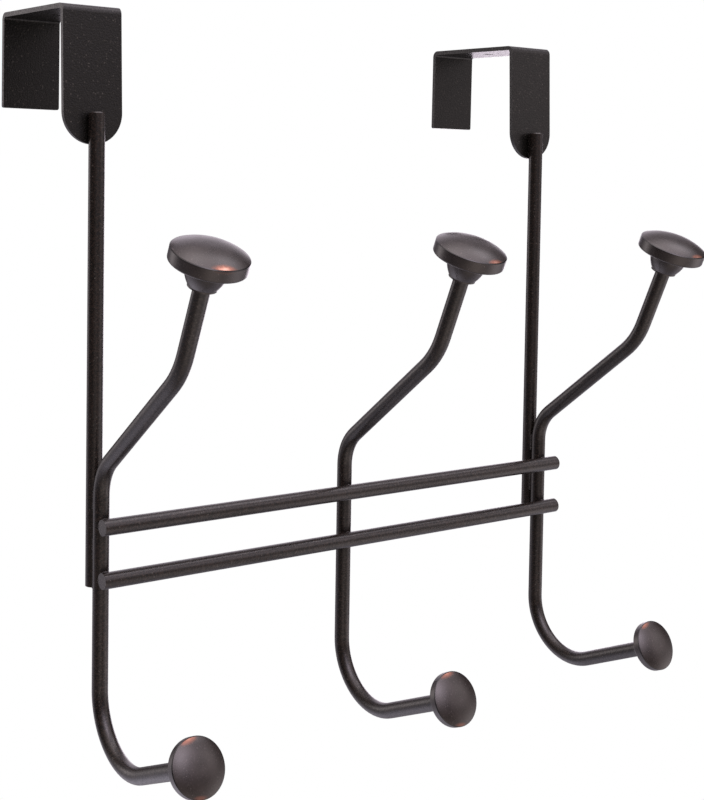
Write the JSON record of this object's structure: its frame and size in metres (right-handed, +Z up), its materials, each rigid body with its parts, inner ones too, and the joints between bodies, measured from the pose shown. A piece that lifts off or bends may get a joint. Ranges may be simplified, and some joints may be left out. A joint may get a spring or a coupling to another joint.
{
  "type": "over door hook",
  "caption": "Over-door hook rack: bent straps hang over a door and carry upright rods, crossbars and bent double hooks with domed knobs, for coats and towels.",
  "frame": {"origin": "middle of the door seat: half way between the straps, at the middle of the door's thickness, on the underside of the strap tops", "axes": "+Z up; +X along the crossbars, to the right seen from the room; +Y from the room towards the door, so the hooks point to -Y"},
  "size_m": [0.2326, 0.1385, 0.2577],
  "materials": {
    "frame_coat": "satin dark bronze powder coat with a fine sparkle",
    "knob_finish": "satin rubbed bronze, copper showing on the edges"
  },
  "bodies": {
    "root": {"left_door_strap": "frame_coat", "left_upright": "frame_coat", "right_door_strap": "frame_coat", "right_upright": "frame_coat", "upper_crossbar": "frame_coat", "lower_crossbar": "frame_coat", "left_hook": "frame_coat", "left_upper_knob": "knob_finish", "left_lower_knob": "knob_finish", "middle_hook": "frame_coat", "middle_upper_knob": "knob_finish", "middle_lower_knob": "knob_finish", "right_hook": "frame_coat", "right_upper_knob": "knob_finish", "right_lower_knob": "knob_finish"}
  },
  "joints": []
}
